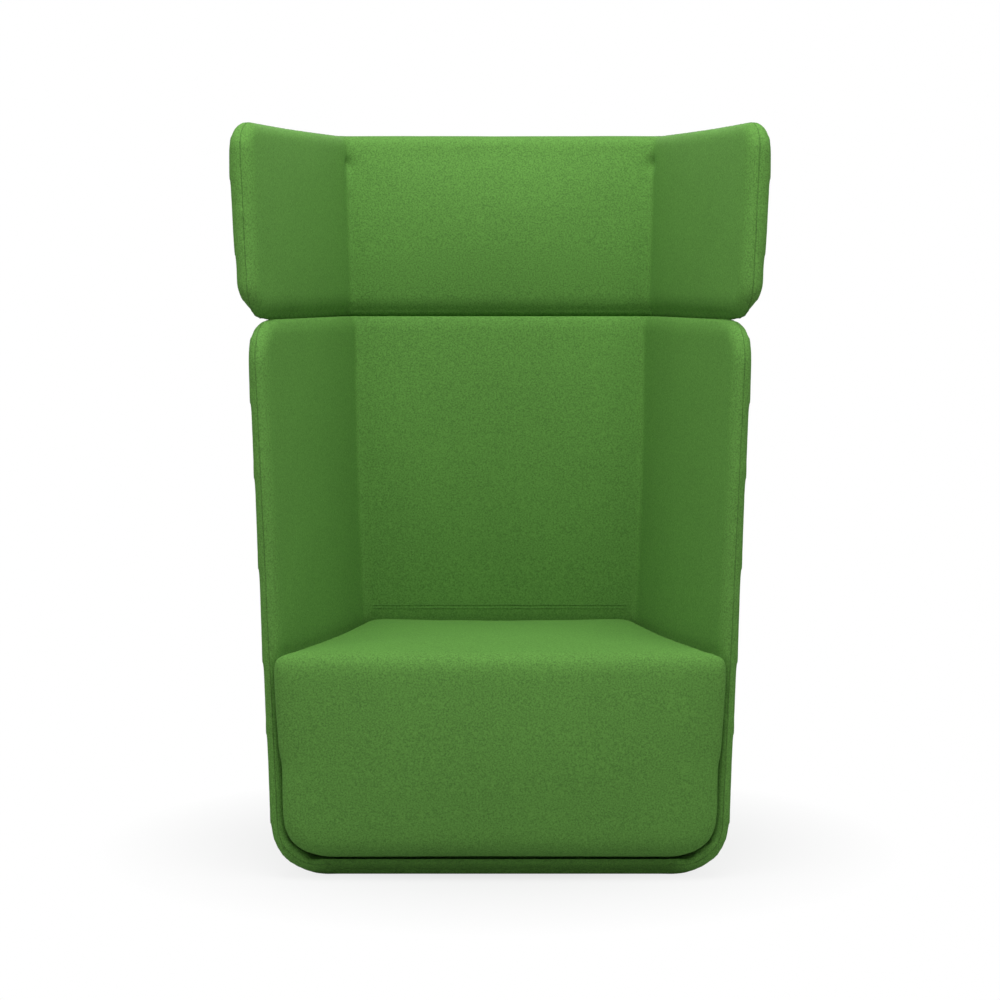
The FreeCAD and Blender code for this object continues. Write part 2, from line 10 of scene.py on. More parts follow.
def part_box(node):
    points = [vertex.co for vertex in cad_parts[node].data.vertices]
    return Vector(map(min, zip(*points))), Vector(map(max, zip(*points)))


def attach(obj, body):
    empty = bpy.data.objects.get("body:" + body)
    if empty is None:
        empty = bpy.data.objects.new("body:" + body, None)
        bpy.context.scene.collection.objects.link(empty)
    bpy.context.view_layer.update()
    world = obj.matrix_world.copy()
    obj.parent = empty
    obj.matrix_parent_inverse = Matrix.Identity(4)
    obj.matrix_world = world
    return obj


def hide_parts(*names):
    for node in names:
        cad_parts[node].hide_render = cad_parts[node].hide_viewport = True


# The looks of a high back lounge chair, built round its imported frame. Metres, chair facing -Y.

MM = 0.001
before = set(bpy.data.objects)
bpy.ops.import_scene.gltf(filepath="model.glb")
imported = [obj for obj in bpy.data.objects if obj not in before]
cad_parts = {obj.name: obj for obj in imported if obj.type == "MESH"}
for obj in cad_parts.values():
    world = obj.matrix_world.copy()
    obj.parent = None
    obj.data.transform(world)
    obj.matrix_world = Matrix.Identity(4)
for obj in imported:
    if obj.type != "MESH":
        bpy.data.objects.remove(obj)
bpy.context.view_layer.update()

# Making the covers: voxel size, rounds of smoothing, and how near another piece counts as touching
MERGE = 1e-6
COVER_VOXEL = 7 * MM
COVER_ROUNDS = 7
EVENING_ROUNDS = 6
PUFF_ROUNDS = 14
SHELL_PUFF = 3 * MM
HEADREST_PUFF = 1 * MM
START_INSIDE = 2 * MM
REACH = 6 * MM
WHOLLY_OPEN = 0.999
LEAST_KEPT = 0.25

# Air pressure under the felt
SIM_FRAMES = 20
SIM_QUALITY = 4
PRESSURE = 4.0
STRETCH_STIFFNESS = 12
BENDING_STIFFNESS = 0.4
SWELL_ROUNDS = 3
HEADREST_SWELL = 5 * MM
SEAT_SWELL = 9 * MM

# The split between the shell and the headrest
CLOSING = 1.4 * MM
CLOSING_REACH = 10 * MM
CLOSING_FRONT = -0.24
CLOSING_RUN = 0.03

# The shell's front lip: it hangs down and slopes back beneath the seat
LIP_START = -0.262
LIP_RUN = 0.04
LIP_HEIGHT = 0.09
LIP_DROP = 7 * MM
LIP_CLEAR = 1 * MM
LIP_BACK = 20 * MM
LIP_BACK_HEIGHTS = (0.012, 0.085)
LIP_BACK_ENDS = (0.30, 0.36)
LIP_FACING = 1.5

# The headrest: rounder lower corners, full sides, an undercut inner foot, and two dimples
SIDE_FACING = 1.4
CORNER_TOP = 1.110
CORNER_RUN = 0.060
CORNER_PULL = 18 * MM
CORNER_POWER = 1.8
SIDE_SWELL = 3.5 * MM
SIDE_SWELL_HEIGHTS = (1.130, 1.400)
INNER_MIDDLE = -0.35
UNDERCUT = 12 * MM
UNDERCUT_TOP = 1.090
UNDERCUT_RUN = 0.047
DIMPLE_PLACE = (0.315, 0.250, 1.349)
DIMPLE_RADIUS = 24 * MM
DIMPLE_DEPTH = 14 * MM
DIMPLE_WAY = (0.5, 0.85, 0.0)

# Sewn folds along the rims
SEAM_GAP = 0.3 * MM
FACE_LIFT = 0.2 * MM
FACE_TO_FACE = -0.9
SHORTEST_SEAM = 0.15
FOLD_STEP = 12 * MM
FOLD_RADIUS = 1.3 * MM
FOLD_DEPTH = 0.6 * MM
FOLD_SHIFT = 4 * MM

# The double stitched hem across the foot of the inner back
HEM_HEIGHTS = (19 * MM, 26 * MM)
HEM_REACH = 0.258
HEM_RADIUS = 1.0 * MM
HEM_DEPTH = 0.4 * MM

# The seat block, which bulges sideways in front of the raked rims of the wings
RIM_FOOT = -0.352
RIM_RAKE = 0.0298
SEAT_VOXEL = 10 * MM
SEAT_ROUNDS = 9
SEAT_SOFT_ROUNDS = 4
SEAT_INSET = 1 * MM
SEAT_BULGE = 22 * MM
BULGE_BEHIND = 6 * MM
BULGE_RUN = 14 * MM
BULGE_FROM = 0.30
BULGE_WIDTH = 0.08
SEAT_LIFT = 10 * MM
LIFT_FROM = 0.33
LIFT_HEIGHT = 0.07

# The underside sheet and the webbing
LINING_STEPS = 40
LINING_SLACK = 1.5 * MM
LINING_THICKNESS = 0.8 * MM
WEBBING_EDGE = 0.3 * MM

# Felt: how strongly it is mottled, and its green
MOTTLING = 4.5
GREEN = (0.088, 0.220, 0.041)
# How much darker the felt of the seam folds is: painted shade in the seam valleys
SEAM_SHADE_TONE = 0.75

# Studio: place, target, size in metres and power in watts of each lamp
LAMPS = {
    "top_lamp": ((0, -1.3, 3.6), (0, 0, 0.6), (2.6, 2.0), 118),
    "left_lamp": ((4.0, -2.5, 2.7), (0, 0, 0.8), (2.0, 2.0), 44),
    "right_lamp": ((-4.0, -2.5, 2.7), (0, 0, 0.8), (2.0, 2.0), 44),
    "rear_lamp": ((0, 4.5, 2.6), (0, 0, 0.7), (3.0, 1.6), 55),
}
FLOOR_SIZE = 24.0
FLOOR_GREY = 0.45
WHITE_FROM = 0.6
WHITE_RISE = 0.5
WHITE_NEAR = 0.90
SURROUND_LEVEL = 0.33

# Where the photograph was taken from
CAMERA_PLACE = (0.0, -5.50, 1.123)
CAMERA_PITCH = 4.57
FOCAL_PIXELS = 2800
IMAGE_PIXELS = 1000
SENSOR = 36.0


def only(obj):
    """Makes an object the active one and the only one selected."""
    bpy.ops.object.select_all(action="DESELECT")
    obj.hide_set(False)
    obj.select_set(True)
    bpy.context.view_layer.objects.active = obj


def modified(obj, kind, **settings):
    """Adds a modifier to an object and applies it."""
    only(obj)
    modifier = obj.modifiers.new(kind.lower(), kind)
    for key, value in settings.items():
        setattr(modifier, key, value)
    bpy.ops.object.modifier_apply(modifier=modifier.name)


def copy_of(nodes, name):
    """A new object with the merged meshes of some CAD nodes."""
    parts = []
    for node in nodes:
        part = bpy.data.objects.new(name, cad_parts[node].data.copy())
        bpy.context.scene.collection.objects.link(part)
        part.data.materials.clear()
        parts.append(part)
    only(parts[0])
    for part in parts[1:]:
        part.select_set(True)
    if len(parts) > 1:
        bpy.ops.object.join()
    obj = parts[0]
    bpy.ops.object.mode_set(mode="EDIT")
    bpy.ops.mesh.select_all(action="SELECT")
    bpy.ops.mesh.remove_doubles(threshold=MERGE)
    bpy.ops.object.mode_set(mode="OBJECT")
    return obj


def points_of(obj):
    """The object's points as rows."""
    rows = np.empty(len(obj.data.vertices) * 3, np.float32)
    obj.data.vertices.foreach_get("co", rows)
    return rows.reshape(-1, 3).astype(float)


def normals_of(obj):
    """The normals at the object's points as rows."""
    rows = np.empty(len(obj.data.vertices) * 3, np.float32)
    obj.data.vertex_normals.foreach_get("vector", rows)
    return rows.reshape(-1, 3).astype(float)


def move_points(obj, rows):
    """Puts the object's points where the rows say."""
    obj.data.vertices.foreach_set("co", rows.astype(np.float32).ravel())
    obj.data.update()


def tree_of(nodes):
    """A search tree over the meshes of some CAD nodes."""
    corners, faces = [], []
    for node in nodes:
        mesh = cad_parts[node].data
        start = len(corners)
        corners += [vertex.co for vertex in mesh.vertices]
        faces += [[start + k for k in face.vertices] for face in mesh.polygons]
    return BVHTree.FromPolygons(corners, faces)


def openness(obj, own):
    """1 at points with nothing close in front of them, 0 where the piece lies against another."""
    tree = tree_of([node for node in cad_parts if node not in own])
    share = np.ones(len(obj.data.vertices))
    for k, vertex in enumerate(obj.data.vertices):
        start = vertex.co - vertex.normal * START_INSIDE
        if tree.ray_cast(start, vertex.normal, START_INSIDE + REACH)[0] is not None:
            share[k] = 0.0
    return share


def edge_ends(obj):
    """The two ends of every edge, as index rows."""
    ends = np.empty(len(obj.data.edges) * 2, np.int32)
    obj.data.edges.foreach_get("vertices", ends)
    return ends.reshape(-1, 2)


def eased(obj, values, rounds):
    """Values at the points, averaged with their neighbours' some times over."""
    ends = edge_ends(obj)
    here = np.concatenate((ends[:, 0], ends[:, 1]))
    there = np.concatenate((ends[:, 1], ends[:, 0]))
    size = len(values)
    count = np.maximum(np.bincount(here, minlength=size), 1)
    columns = values.reshape(size, -1).copy()
    for _ in range(rounds):
        for k in range(columns.shape[1]):
            total = np.bincount(here, weights=columns[there, k], minlength=size)
            columns[:, k] = columns[:, k] * 0.5 + total / count * 0.5
    return columns.reshape(values.shape)


def rising(share):
    """A share from 0 to 1 that starts and ends softly."""
    return share * share * (3 - 2 * share)


def evened(obj, at, share, rounds):
    """Irons out small steps without shrinking the form: each easing is followed by its opposite."""
    for _ in range(rounds):
        at = at + (eased(obj, at, 1) - at) * share[:, None]
        at = at - (eased(obj, at, 1) - at) * share[:, None]
    return at


def swollen(obj, share, cap):
    """Blows the piece up as cloth. The moves are scaled, so that none is longer than the cap."""
    before = points_of(obj)
    modifier = obj.modifiers.new("cloth", "CLOTH")
    cloth = modifier.settings
    cloth.use_pressure = True
    cloth.uniform_pressure_force = PRESSURE
    cloth.effector_weights.gravity = 0.0
    cloth.quality = SIM_QUALITY
    cloth.tension_stiffness = STRETCH_STIFFNESS
    cloth.compression_stiffness = STRETCH_STIFFNESS
    cloth.bending_stiffness = BENDING_STIFFNESS
    modifier.point_cache.frame_start = 1
    modifier.point_cache.frame_end = SIM_FRAMES
    scene = bpy.context.scene
    for number in range(1, SIM_FRAMES + 1):
        scene.frame_set(number)
    only(obj)
    bpy.ops.object.modifier_apply(modifier=modifier.name)
    scene.frame_set(1)
    moved = (points_of(obj) - before) * share[:, None]
    length = np.linalg.norm(moved, axis=1)
    longest = max(float(length.max()), MERGE)
    moved *= min(1.0, cap / longest)
    move_points(obj, before + eased(obj, moved, SWELL_ROUNDS))


def trimmed(obj, nodes):
    """Cuts the frame out of a piece, so that the piece lies against it."""
    for node in nodes:
        cutter = copy_of([node], "cutter")
        kept = len(obj.data.vertices)
        only(obj)
        before = obj.data.copy()
        modifier = obj.modifiers.new("trim", "BOOLEAN")
        modifier.operation = "DIFFERENCE"
        modifier.solver = "MANIFOLD"
        modifier.object = cutter
        bpy.ops.object.modifier_apply(modifier=modifier.name)
        if len(obj.data.vertices) < kept * LEAST_KEPT:
            obj.data = before
            print("trim left out:", obj.name, node)
        bpy.data.objects.remove(cutter)


def closed_up(obj, body):
    """Lets the felts of the shell and the headrest all but touch, where the headrest rests."""
    low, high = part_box("outer_cover")[1].z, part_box("headrest_outer_cover")[0].z
    plane, target = (low, low + CLOSING) if body == "shell" else (high, high - CLOSING)
    at = points_of(obj)
    near = np.clip(2 - 2 * np.abs(at[:, 2] - plane) / CLOSING_REACH, 0, 1)
    near *= np.clip((at[:, 1] - CLOSING_FRONT) / CLOSING_RUN, 0, 1)
    at[:, 2] += (target - at[:, 2]) * rising(near)
    move_points(obj, at)


def settled(obj, skin):
    """Moves every point onto the skin that the piece was made from."""
    at = points_of(obj)
    for k, point in enumerate(at):
        found = skin.find_nearest(Vector(point), COVER_VOXEL)[0]
        if found is not None:
            at[k] = found
    move_points(obj, at)


def upholstered(name, nodes, fills, apart, body, puff, cap, shape_last=None):
    """The felt and foam of a body in one sewn cover, laid over its frame.

    nodes are what it stands for, fills are the frame inside it, and apart are the nodes of the other body,
    which it only rests against. puff is an even swell, cap the most that the air pressure adds."""
    obj = copy_of(nodes + fills, name)
    skin = BVHTree.FromObject(obj, bpy.context.evaluated_depsgraph_get())
    modified(obj, "REMESH", mode="VOXEL", voxel_size=COVER_VOXEL, adaptivity=0.0)
    settled(obj, skin)
    share = (eased(obj, openness(obj, nodes + fills + apart), 1) > WHOLLY_OPEN).astype(float)
    soft = eased(obj, share, PUFF_ROUNDS) * share
    at, out = points_of(obj), normals_of(obj)
    at = at + out * (soft * puff)[:, None]
    at = at + (eased(obj, at, COVER_ROUNDS) - at) * share[:, None]
    move_points(obj, evened(obj, at, share, EVENING_ROUNDS))
    if cap:
        swollen(obj, soft, cap)
    if shape_last:
        at = shape_last(points_of(obj), normals_of(obj))
        move_points(obj, at + (eased(obj, at, 1) - at) * share[:, None])
    closed_up(obj, body)
    trimmed(obj, fills)
    only(obj)
    bpy.ops.object.shade_smooth()
    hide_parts(*nodes)
    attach(obj, body)
    return obj


def shell_form(at, out):
    """The felt of the shell's front lip hangs a little low, and slopes back beneath the seat."""
    front = np.clip((LIP_START - at[:, 1]) / LIP_RUN, 0, 1)
    low = np.clip(1 - at[:, 2] / LIP_HEIGHT, 0, 1)
    at[:, 2] -= LIP_DROP * rising(front) * low
    at[:, 2] = np.maximum(at[:, 2], LIP_CLEAR)
    lowest, highest = LIP_BACK_HEIGHTS
    inner, outer = LIP_BACK_ENDS
    down = np.clip((highest - at[:, 2]) / (highest - lowest), 0, 1)
    within = np.clip((outer - np.abs(at[:, 0])) / (outer - inner), 0, 1)
    facing = np.clip(-out[:, 1] * LIP_FACING, 0, 1)
    at[:, 1] += LIP_BACK * down * rising(within) * front * facing
    return at


def headrest_form(at, out):
    """Round lower corners, full sides, a drawn in inner foot, and a dimple in each upper inner corner."""
    side = np.sign(at[:, 0])
    facing = np.clip(out[:, 0] * side * SIDE_FACING, 0, 1)
    low = np.clip((CORNER_TOP - at[:, 2]) / CORNER_RUN, 0, 1)
    at[:, 0] -= side * facing * CORNER_PULL * low ** CORNER_POWER
    lowest, highest = SIDE_SWELL_HEIGHTS
    middle = np.clip((at[:, 2] - lowest) / (highest - lowest), 0, 1)
    at[:, 0] += side * facing * SIDE_SWELL * np.sin(math.pi * middle)
    inwards = np.column_stack([-at[:, 0], INNER_MIDDLE - at[:, 1]])
    inwards /= np.linalg.norm(inwards, axis=1)[:, None]
    inner = np.clip(np.sum(inwards * out[:, :2], axis=1) * 2 - 0.4, 0, 1)
    low = np.clip((UNDERCUT_TOP - at[:, 2]) / UNDERCUT_RUN, 0, 1)
    at[:, :2] -= out[:, :2] * (UNDERCUT * inner * low * low)[:, None]
    for side in (1, -1):
        pit = np.array([side * DIMPLE_PLACE[0], DIMPLE_PLACE[1], DIMPLE_PLACE[2]])
        near = np.clip(1 - np.sum((at - pit) ** 2, axis=1) / DIMPLE_RADIUS ** 2, 0, 1) ** 2
        way = np.array([side * DIMPLE_WAY[0], DIMPLE_WAY[1], DIMPLE_WAY[2]])
        at += near[:, None] * DIMPLE_DEPTH * way
    return at


def meeting_lines(nodes, neighbour):
    """The lines in the open where some CAD nodes meet another one, as lists of points."""
    near = tree_of([neighbour])
    everything = tree_of(list(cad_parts))
    pairs = set()
    for node in nodes:
        mesh = bmesh.new()
        mesh.from_mesh(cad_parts[node].data)
        bmesh.ops.remove_doubles(mesh, verts=mesh.verts, dist=MERGE)
        kind = {}
        for face in mesh.faces:
            centre = face.calc_center_median()
            found = near.find_nearest(centre, SEAM_GAP)
            if found[0] is not None and found[1].dot(face.normal) < FACE_TO_FACE:
                kind[face] = "seam"
            elif everything.ray_cast(centre + face.normal * FACE_LIFT, face.normal, REACH)[0] is None:
                kind[face] = "open"
        for edge in mesh.edges:
            if {kind.get(face) for face in edge.link_faces} == {"seam", "open"}:
                ends = [tuple(round(c, 5) for c in vertex.co) for vertex in edge.verts]
                pairs.add(tuple(sorted(ends)))
        mesh.free()
    links = {}
    for a, b in pairs:
        links.setdefault(a, set()).add(b)
        links.setdefault(b, set()).add(a)
    lines = []
    while links:
        start = min((p for p in links if len(links[p]) == 1), default=min(links))
        line = [start]
        while links.get(line[-1]):
            here = line[-1]
            there = min(links[here])
            links[here].discard(there)
            links[there].discard(here)
            line.append(there)
        for point in line:
            if not links.get(point):
                links.pop(point, None)
        if len(line) > 1:
            lines.append(line)
    return lines


def dense(line, step):
    """A line with extra points, so that none of its runs is longer than a step."""
    points = [Vector(line[0])]
    for a, b in zip(line, line[1:]):
        a, b = Vector(a), Vector(b)
        count = max(1, math.ceil((b - a).length / step))
        points += [a.lerp(b, k / count) for k in range(1, count + 1)]
    return points


def fold(name, cover, lines, radius, depth, body, shift=0.0):
    """A sewn fold in the felt: fine rounds of cloth along some lines, sunk into the cover.

    shift is how far the lines lie towards the inside of the chair."""
    curve = bpy.data.curves.new(name, "CURVE")
    curve.dimensions = "3D"
    curve.bevel_depth = radius
    curve.bevel_resolution = 2
    curve.use_fill_caps = True
    tree = BVHTree.FromObject(cover, bpy.context.evaluated_depsgraph_get())
    for line in lines:
        spline = curve.splines.new("POLY")
        points = dense(line, FOLD_STEP)
        spline.points.add(len(points) - 1)
        for place, point in zip(spline.points, points):
            inwards = Vector((-point.x, INNER_MIDDLE - point.y, 0.0)).normalized()
            found, normal = tree.find_nearest(point + inwards * shift)[:2]
            place.co = (*(found - normal * depth), 1.0)
    obj = bpy.data.objects.new(name, curve)
    bpy.context.scene.collection.objects.link(obj)
    only(obj)
    bpy.ops.object.convert(target="MESH")
    obj = bpy.context.view_layer.objects.active
    bpy.ops.object.shade_smooth()
    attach(obj, body)
    return obj


def rim_lines(nodes, neighbour):
    """The long lines of the seam round a rim."""
    def length(line):
        return sum(math.dist(a, b) for a, b in zip(line, line[1:]))

    return [line for line in meeting_lines(nodes, neighbour) if length(line) > SHORTEST_SEAM]


class Wire:
    """A shader value. Sums and products of it add Math nodes."""

    def __init__(self, board, socket):
        self.board = board
        self.socket = socket

    def __add__(self, other):
        return self.board.maths("ADD", self, other)

    def __sub__(self, other):
        return self.board.maths("SUBTRACT", self, other)

    def __rsub__(self, other):
        return self.board.maths("SUBTRACT", other, self)

    def __mul__(self, other):
        return self.board.maths("MULTIPLY", self, other)

    def __pow__(self, other):
        return self.board.maths("POWER", self, other)

    __radd__ = __add__
    __rmul__ = __mul__


class Board:
    """The nodes of one finish."""

    def __init__(self, name):
        self.material = bpy.data.materials.new(name)
        self.material.use_nodes = True
        self.nodes = self.material.node_tree.nodes
        self.links = self.material.node_tree.links
        self.shader = self.nodes["Principled BSDF"]

    def node(self, kind, settings=None, sockets=None, out=0):
        """Any node: its settings are set first, then the values or links of its sockets."""
        node = self.nodes.new(kind)
        for key, value in (settings or {}).items():
            setattr(node, key, value)
        for key, value in (sockets or {}).items():
            self.feed(node.inputs[key], value)
        return Wire(self, node.outputs[out])

    def feed(self, socket, value):
        """Links a wire to a socket, or sets a plain value on it."""
        if isinstance(value, Wire):
            self.links.new(value.socket, socket)
        else:
            socket.default_value = value

    def maths(self, operation, first, second):
        """A Math node on two values."""
        return self.node("ShaderNodeMath", {"operation": operation}, {0: first, 1: second})

    def place(self, scale=(1, 1, 1), turn=(0, 0, 0)):
        """Object coordinates, stretched and turned."""
        at = self.node("ShaderNodeTexCoord", out=3)
        return self.node("ShaderNodeMapping", None, {"Vector": at, "Rotation": turn, "Scale": scale})

    def noise(self, at, scale, detail=2.0, roughness=0.5):
        """Cloudy noise from 0 to 1."""
        sockets = {"Vector": at, "Scale": scale, "Detail": detail, "Roughness": roughness}
        return self.node("ShaderNodeTexNoise", None, sockets)

    def clamped(self, value, low=0.0, high=1.0):
        """A value kept between two limits."""
        return self.node("ShaderNodeClamp", None, {"Value": value, "Min": low, "Max": high})

    def blend(self, share, first, second):
        """One colour turning into another."""
        return self.node("ShaderNodeMix", {"data_type": "RGBA"}, {0: share, 6: first, 7: second}, out=2)

    def bump(self, height, distance, strength):
        """Relief on the surface."""
        self.feed(self.shader.inputs["Normal"], self.node(
            "ShaderNodeBump", None, {"Height": height, "Distance": distance, "Strength": strength}))

    def set(self, **values):
        """Constant values on the shader's own sockets. Underscores stand for spaces."""
        for key, value in values.items():
            self.feed(self.shader.inputs[key.replace("_", " ")], value)


def toned(colour, factor):
    """A colour made lighter or darker."""
    return tuple(min(1.0, channel * factor) for channel in colour) + (1.0,)


def felt(name, colour):
    """Wool felt: short mottled fibres, a soft nap and slow clouds of tone."""
    board = Board(name)
    at = board.place()
    grain = board.noise(at, 320.0, 3.0, 0.65)
    fibres = board.noise(board.place((1.0, 0.35, 1.0), (0.4, 0.7, 0.2)), 900.0, 2.0, 0.55)
    crossing = board.noise(board.place((0.35, 1.0, 0.6), (1.1, 0.3, 0.9)), 900.0, 2.0, 0.55)
    clouds = board.noise(at, 7.0, 2.0)
    nap = grain * 0.6 + fibres * 0.2 + crossing * 0.2
    tone = board.clamped(0.5 + (nap - 0.5) * MOTTLING + (clouds - 0.5) * 0.22)
    board.feed(board.shader.inputs["Base Color"], board.blend(tone, toned(colour, 0.72), toned(colour, 1.30)))
    board.feed(board.shader.inputs["Roughness"], board.clamped(0.9 + (clouds - 0.5) * 0.1))
    board.bump(nap, 0.9 * MM, 0.45)
    board.set(Sheen_Weight=0.08, Sheen_Roughness=0.5, Specular_IOR_Level=0.15)
    board.shader.inputs["Sheen Tint"].default_value = toned(colour, 3.0)
    return board.material


def wood(name, light, dark, along, plies=0.0):
    """Wood with grain along an axis, and thin plies where plies gives their number in a metre."""
    board = Board(name)
    stretch = [1.0, 1.0, 1.0]
    stretch[along] = 0.08
    at = board.place(stretch)
    grain = board.noise(at, 160.0, 5.0, 0.6)
    rings = board.noise(at, 22.0, 3.0, 0.65)
    pores = board.noise(board.place([s * 2 for s in stretch]), 700.0, 2.0)
    share = grain * 0.5 + rings * 0.5
    if plies:
        bands = board.node("ShaderNodeTexWave", {"bands_direction": "DIAGONAL"}, {
            "Vector": board.place(), "Scale": plies, "Distortion": 0.4, "Detail": 1.0})
        share = share * 0.8 + bands * 0.2
    board.feed(board.shader.inputs["Base Color"], board.blend(
        board.clamped((share - 0.5) * 2.2 + 0.5), toned(light, 1.0), toned(dark, 1.0)))
    board.feed(board.shader.inputs["Roughness"], board.clamped(0.55 + (grain - 0.5) * 0.3))
    board.bump(pores * 0.5 + grain * 0.5, 0.3 * MM, 0.3)
    return board.material


def brushed_steel(name, colour, roughness):
    """Steel drawn along Z, with fine lines and faint wear."""
    board = Board(name)
    lines = board.noise(board.place((1.0, 1.0, 0.02)), 900.0, 3.0)
    wear = board.noise(board.place(), 18.0, 3.0)
    board.feed(board.shader.inputs["Base Color"], board.blend(wear, toned(colour, 0.9), toned(colour, 1.08)))
    board.feed(board.shader.inputs["Roughness"], board.clamped(
        (lines - 0.5) * 0.25 + (wear - 0.5) * 0.15 + roughness))
    board.bump(lines, 0.05 * MM, 0.2)
    board.set(Metallic=1.0)
    return board.material


def woven(name, colour, pitch):
    """Plain weave of flat yarns, with a thread pitch in metres."""
    board = Board(name)
    at = board.place()
    ways = []
    for axis in ("X", "Y"):
        ways.append(board.node("ShaderNodeTexWave", {"bands_direction": axis}, {
            "Vector": at, "Scale": 0.314 / pitch, "Distortion": 0.3, "Detail": 1.0}))
    weave = ways[0] * 0.5 + ways[1] * 0.5
    dirt = board.noise(at, 30.0, 3.0)
    board.feed(board.shader.inputs["Base Color"], board.blend(
        board.clamped(weave * 0.7 + dirt * 0.3), toned(colour, 0.65), toned(colour, 1.25)))
    board.feed(board.shader.inputs["Roughness"], board.clamped(0.8 + (dirt - 0.5) * 0.2))
    board.bump(weave, 0.4 * MM, 0.6)
    board.set(Sheen_Weight=0.15)
    return board.material


def moulded_plastic(name, colour):
    """Dull moulded plastic with a fine spark-eroded grain and scuffs."""
    board = Board(name)
    grain = board.noise(board.place(), 1500.0, 2.0)
    scuffs = board.noise(board.place((1.0, 4.0, 1.0)), 60.0, 4.0)
    board.feed(board.shader.inputs["Base Color"], board.blend(scuffs, toned(colour, 0.85), toned(colour, 1.3)))
    board.feed(board.shader.inputs["Roughness"], board.clamped(0.5 + (scuffs - 0.5) * 0.4))
    board.bump(grain, 0.08 * MM, 0.3)
    return board.material


def dress(obj, material):
    """Gives an object one finish."""
    obj.data.materials.clear()
    obj.data.materials.append(material)


# Finishes
shell_felt = felt("green wool felt of the shell", GREEN)
headrest_felt = felt("green wool felt of the headrest", GREEN)
seat_felt = felt("green wool felt of the seat", GREEN)
# The seam felt is the green made darker, as painted shade along the seams
painted_seam_shade_felt = felt("green wool felt darkened for painted seam shade", toned(GREEN, SEAM_SHADE_TONE)[:3])
ply = wood("birch plywood", (0.62, 0.45, 0.27), (0.42, 0.28, 0.15), 2, plies=60.0)
box_ply = wood("birch plywood of the seat box", (0.60, 0.43, 0.26), (0.40, 0.27, 0.14), 0, plies=60.0)
beech = wood("solid beech", (0.58, 0.36, 0.22), (0.40, 0.22, 0.12), 2)
post_metal = brushed_steel("drawn steel of the posts", (0.60, 0.60, 0.61), 0.28)
sleeve_metal = brushed_steel("zinc plated steel of the sleeves", (0.55, 0.56, 0.58), 0.38)
jute = woven("jute webbing", (0.42, 0.31, 0.17), 2.2 * MM)
lining = woven("black lining sheet", (0.03, 0.03, 0.032), 0.9 * MM)
glide_plastic = moulded_plastic("black plastic of the glides", (0.025, 0.025, 0.027))

NODE_FINISHES = {
    ply: ("left_side_panel", "right_side_panel", "back_panel", "rear_bend_panel", "base_panel",
          "headrest_panel"),
    box_ply: ("seat_front_board", "seat_rear_board", "seat_left_board", "seat_right_board"),
    beech: ("left_corner_batten", "right_corner_batten", "top_rail", "rear_sill",
            "seat_corner_blocks", "post_blocks"),
    post_metal: ("headrest_posts",),
    sleeve_metal: ("post_sleeves",),
    glide_plastic: ("glides",),
}
for finish, names in NODE_FINISHES.items():
    for node in names:
        dress(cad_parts[node], finish)

# Upholstery of the shell and of the headrest
SHELL_PADDING = ["left_wing_padding", "back_padding", "right_wing_padding"]
SHELL_FRAME = ["left_side_panel", "right_side_panel", "back_panel", "rear_bend_panel", "base_panel",
               "left_corner_batten", "right_corner_batten", "top_rail", "rear_sill"]
HEADREST_PADDING = ["left_headrest_padding", "headrest_back_padding", "right_headrest_padding"]
SHELL_SIDE = ["outer_cover", "back_panel", "left_side_panel", "right_side_panel"] + SHELL_PADDING
HEADREST_SIDE = ["headrest_outer_cover", "headrest_panel", "post_blocks"] + HEADREST_PADDING
shell_cover = upholstered("shell_upholstery", ["outer_cover", "base_padding"] + SHELL_PADDING, SHELL_FRAME,
                          HEADREST_SIDE, "shell", SHELL_PUFF, 0, shell_form)
headrest_cover = upholstered("headrest_upholstery", ["headrest_outer_cover"] + HEADREST_PADDING,
                             ["headrest_panel", "post_blocks"], SHELL_SIDE, "headrest",
                             HEADREST_PUFF, HEADREST_SWELL, headrest_form)
dress(shell_cover, shell_felt)
dress(headrest_cover, headrest_felt)

# Sewn folds along the rims, and the double stitched hem across the foot of the inner back
shell_fold = fold("shell_rim_seam", shell_cover, rim_lines(SHELL_PADDING, "outer_cover"),
                  FOLD_RADIUS, FOLD_DEPTH, "shell")
headrest_fold = fold("headrest_rim_seam", headrest_cover, rim_lines(HEADREST_PADDING, "headrest_outer_cover"),
                     FOLD_RADIUS, FOLD_DEPTH, "headrest", FOLD_SHIFT)
inner_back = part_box("seat_cushion")[1]
hem_lines = [[(reach, inner_back.y, inner_back.z + height) for reach in (-HEM_REACH, HEM_REACH)]
             for height in HEM_HEIGHTS]
hem_fold = fold("inner_back_hem", shell_cover, hem_lines, HEM_RADIUS, HEM_DEPTH, "shell")
# The folds and the hem wear the darker felt: painted shade along the seams
dress(shell_fold, painted_seam_shade_felt)
dress(headrest_fold, painted_seam_shade_felt)
dress(hem_fold, painted_seam_shade_felt)


